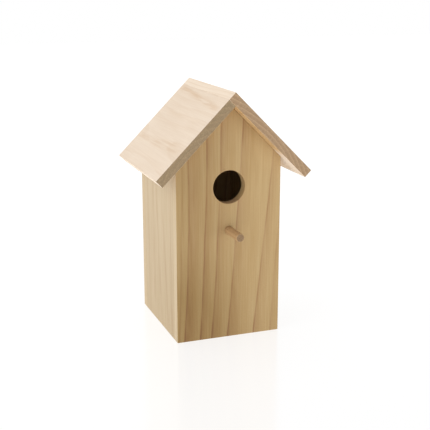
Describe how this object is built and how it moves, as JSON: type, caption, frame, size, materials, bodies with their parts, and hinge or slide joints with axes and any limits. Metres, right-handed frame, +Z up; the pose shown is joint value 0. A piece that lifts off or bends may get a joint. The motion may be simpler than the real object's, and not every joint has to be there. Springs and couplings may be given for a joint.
{
  "type": "birdhouse",
  "caption": "Gabled pine nest box with a round entrance hole, a dowel perch, an overlapping two-board roof and a swing-out side door.",
  "frame": {"origin": "middle of the base, at the underside of the floor board", "axes": "+Z up, -Y towards the front with the entrance hole, +X to the right seen from the front"},
  "size_m": [0.1535, 0.145, 0.2407],
  "materials": {
    "front_panel": "bare planed flat-sawn pine, vertical grain",
    "back_panel": "bare planed pine, vertical grain",
    "left_side": "bare planed straight-grained pine, vertical grain",
    "floor_board": "bare planed pine",
    "side_door": "bare planed pine, vertical grain",
    "roof_left": "bare pale pine, grain along the ridge",
    "roof_right": "bare pale pine, grain along the ridge",
    "perch": "bare turned dowel",
    "button": "satin",
    "hanger": "zinc plated",
    "hardware": "zinc plated"
  },
  "bodies": {
    "house": {"front_panel": "front_panel", "back_panel": "back_panel", "left_side": "left_side", "floor_board": "floor_board", "roof_left": "roof_left", "roof_right": "roof_right", "perch": "perch", "door_pivot_pins": "hardware", "turn_button_washer": "hardware", "turn_button_screw": "hardware", "hanger_plate": "hanger", "hanger_screws": "hardware", "front_brads": "hardware", "back_brads": "hardware", "floor_brads": "hardware", "roof_left_brads": "hardware", "roof_right_brads": "hardware", "ridge_brads": "hardware"},
    "door": {"side_door": "side_door"},
    "button": {"turn_button": "button"}
  },
  "joints": [
    {"name": "door_swing", "type": "hinge", "parent": "house", "child": "door", "pos_m": [0.0475, 0, 0.167], "axis": [0, -1, 0], "range_deg": [0, 50]},
    {"name": "button_turn", "type": "hinge", "parent": "house", "child": "button", "pos_m": [0.0544, 0.053, 0.046], "axis": [-1, 0, 0], "range_deg": [0, 180]}
  ]
}
